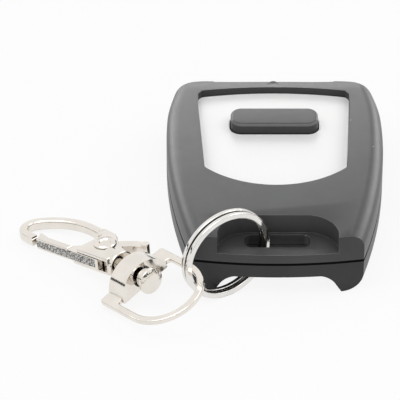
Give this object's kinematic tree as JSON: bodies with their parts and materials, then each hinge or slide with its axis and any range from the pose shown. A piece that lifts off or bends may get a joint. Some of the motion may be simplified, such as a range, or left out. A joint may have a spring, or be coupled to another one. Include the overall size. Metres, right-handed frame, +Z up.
{
  "type": "remote control fob",
  "caption": "Hand-held alarm remote fob: a two-shell case with a press button and an indicator, with a split key ring and a swivelling snap hook at one end.",
  "frame": {"origin": "middle of the case's flat underside, where it rests", "axes": "+X to the right, +Y from the key ring end to the indicator end, +Z up out of the button face"},
  "size_m": [0.0754, 0.0773, 0.0198],
  "materials": {
    "shell_upper": "fine textured dark grey moulding",
    "shell_lower": "fine textured dark grey moulding",
    "face_plate": "bright satin sheet",
    "board": "green solder mask",
    "cell_steel": "plated steel",
    "contact_metal": "nickel plated sheet",
    "switch_body": "black moulding",
    "chip_black": "black epoxy",
    "copper_trace": "tinned copper",
    "chip_ceramic": "ceramic",
    "led_lens": "tinted clear lens",
    "screw_steel": "zinc plated",
    "button": "fine textured grey moulding",
    "plunger": "black moulding",
    "ring_steel": "polished nickel plated spring steel",
    "hook_metal": "polished nickel plated zinc casting",
    "spring_wire": "spring steel wire"
  },
  "bodies": {
    "case": {"bottom_shell": "shell_lower", "top_shell": "shell_upper", "face_plate": "face_plate", "circuit_board": "board", "coin_cell": "cell_steel", "cell_clip": "contact_metal", "cell_contact": "contact_metal", "tact_switch": "switch_body", "transmitter_chip": "chip_black", "encoder_chip": "chip_black", "saw_resonator": "cell_steel", "antenna_loop": "copper_trace", "chip_parts": "chip_ceramic", "indicator_led": "led_lens", "case_screws": "screw_steel"},
    "button": {"button_cap": "button"},
    "plunger": {"switch_plunger": "plunger"},
    "ring": {"key_ring": "ring_steel"},
    "loop": {"swivel_loop": "hook_metal"},
    "hook": {"hook_body": "hook_metal", "swivel_post": "hook_metal", "gate_rivet": "hook_metal", "gate_spring": "spring_wire"},
    "gate": {"hook_gate": "hook_metal"}
  },
  "joints": [
    {"name": "button_press", "type": "slide", "parent": "case", "child": "button", "axis": [0, 0, -1], "range_m": [0, 0.0004], "stiffness_N_per_m": 800, "springref_m": -0.0005},
    {"name": "plunger_press", "type": "slide", "parent": "case", "child": "plunger", "axis": [0, 0, -1], "range_m": [0, 0.0004]},
    {"name": "key_ring_swing", "type": "hinge", "parent": "case", "child": "ring", "pos_m": [-0.0026, -0.0257, 0.0095], "axis": [0, 0, 1], "range_deg": [0, 90]},
    {"name": "swivel_loop_swing", "type": "hinge", "parent": "ring", "child": "loop", "pos_m": [-0.0179, -0.03526, 0.0074], "axis": [0, 0, 1], "range_deg": [-12, 45]},
    {"name": "hook_swivel", "type": "hinge", "parent": "loop", "child": "hook", "pos_m": [-0.02861, -0.03182, 0.00616], "axis": [0.6356, -0.7574, 0.1495], "continuous": true},
    {"name": "gate_open", "type": "hinge", "parent": "hook", "child": "gate", "pos_m": [-0.03456, -0.02287, 0.00454], "axis": [0.0961, -0.1146, -0.9888], "range_deg": [0, 15], "stiffness_Nm_per_rad": 0.02, "springref_deg": -28.65, "deforming": ["gate_spring"]}
  ],
  "couplings": [
    {"joint": "plunger_press", "follows": "button_press", "ratio": 1}
  ]
}
